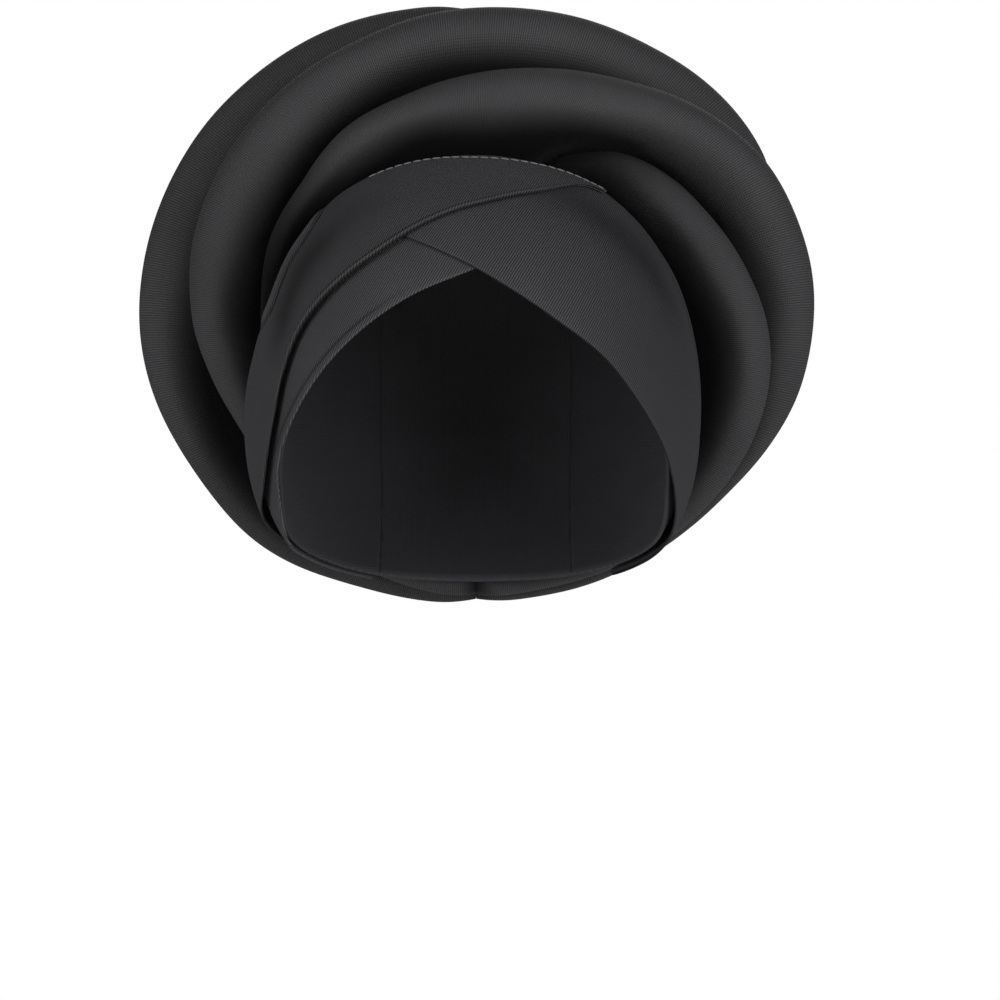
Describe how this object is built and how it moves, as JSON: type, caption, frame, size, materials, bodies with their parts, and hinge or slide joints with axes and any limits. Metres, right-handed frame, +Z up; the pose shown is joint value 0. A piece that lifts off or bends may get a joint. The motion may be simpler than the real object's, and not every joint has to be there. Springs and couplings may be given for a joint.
{
  "type": "twisted turban head wrap",
  "caption": "Pre-tied twisted turban: a fitted cap, flat wraps crossing over the forehead, and padded rolls coiled round the back like a halo, open over the face and below.",
  "frame": {"origin": "top of the wearer's head, on the inside of the cap at the crown", "axes": "+Z up, the wearer faces -Y, +X towards the wearer's left"},
  "size_m": [0.2475, 0.2108, 0.2204],
  "materials": {
    "cap_cloth": "plain fine weave, matt",
    "wrap_cloth": "fine diagonal rib, matt with a soft sheen",
    "roll_cloth": "fine rib over foam padding, matt with a soft sheen"
  },
  "bodies": {
    "root": {"cap_middle_panel": "cap_cloth", "cap_right_side": "cap_cloth", "cap_left_side": "cap_cloth", "left_wrap": "wrap_cloth", "right_wrap": "wrap_cloth", "top_wrap": "wrap_cloth", "inner_roll": "roll_cloth", "front_roll": "roll_cloth", "middle_roll": "roll_cloth", "back_roll": "roll_cloth"}
  },
  "joints": []
}
